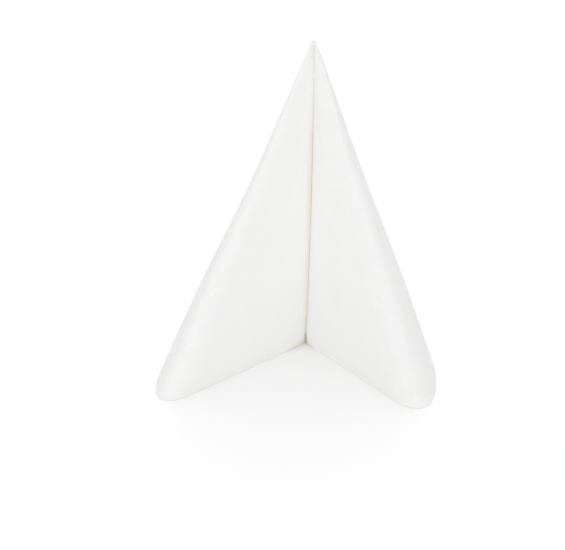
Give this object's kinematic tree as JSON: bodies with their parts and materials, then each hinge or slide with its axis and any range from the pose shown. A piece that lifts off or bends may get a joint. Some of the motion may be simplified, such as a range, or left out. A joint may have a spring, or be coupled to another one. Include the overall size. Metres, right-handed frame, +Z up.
{
  "type": "paper napkin",
  "caption": "White paper napkin folded into a tall standing cone, with two front flaps meeting at a seam and a creased back, for setting a table.",
  "frame": {"origin": "middle of the footprint on the surface that the napkin stands on", "axes": "+Z up to the tip, +X to the right of someone facing the seam, +Y away from them towards the back crease"},
  "size_m": [0.1696, 0.1688, 0.1959],
  "materials": {
    "napkin_paper": "soft matt, lightly fibrous"
  },
  "bodies": {
    "root": {"napkin": "napkin_paper"}
  },
  "joints": []
}
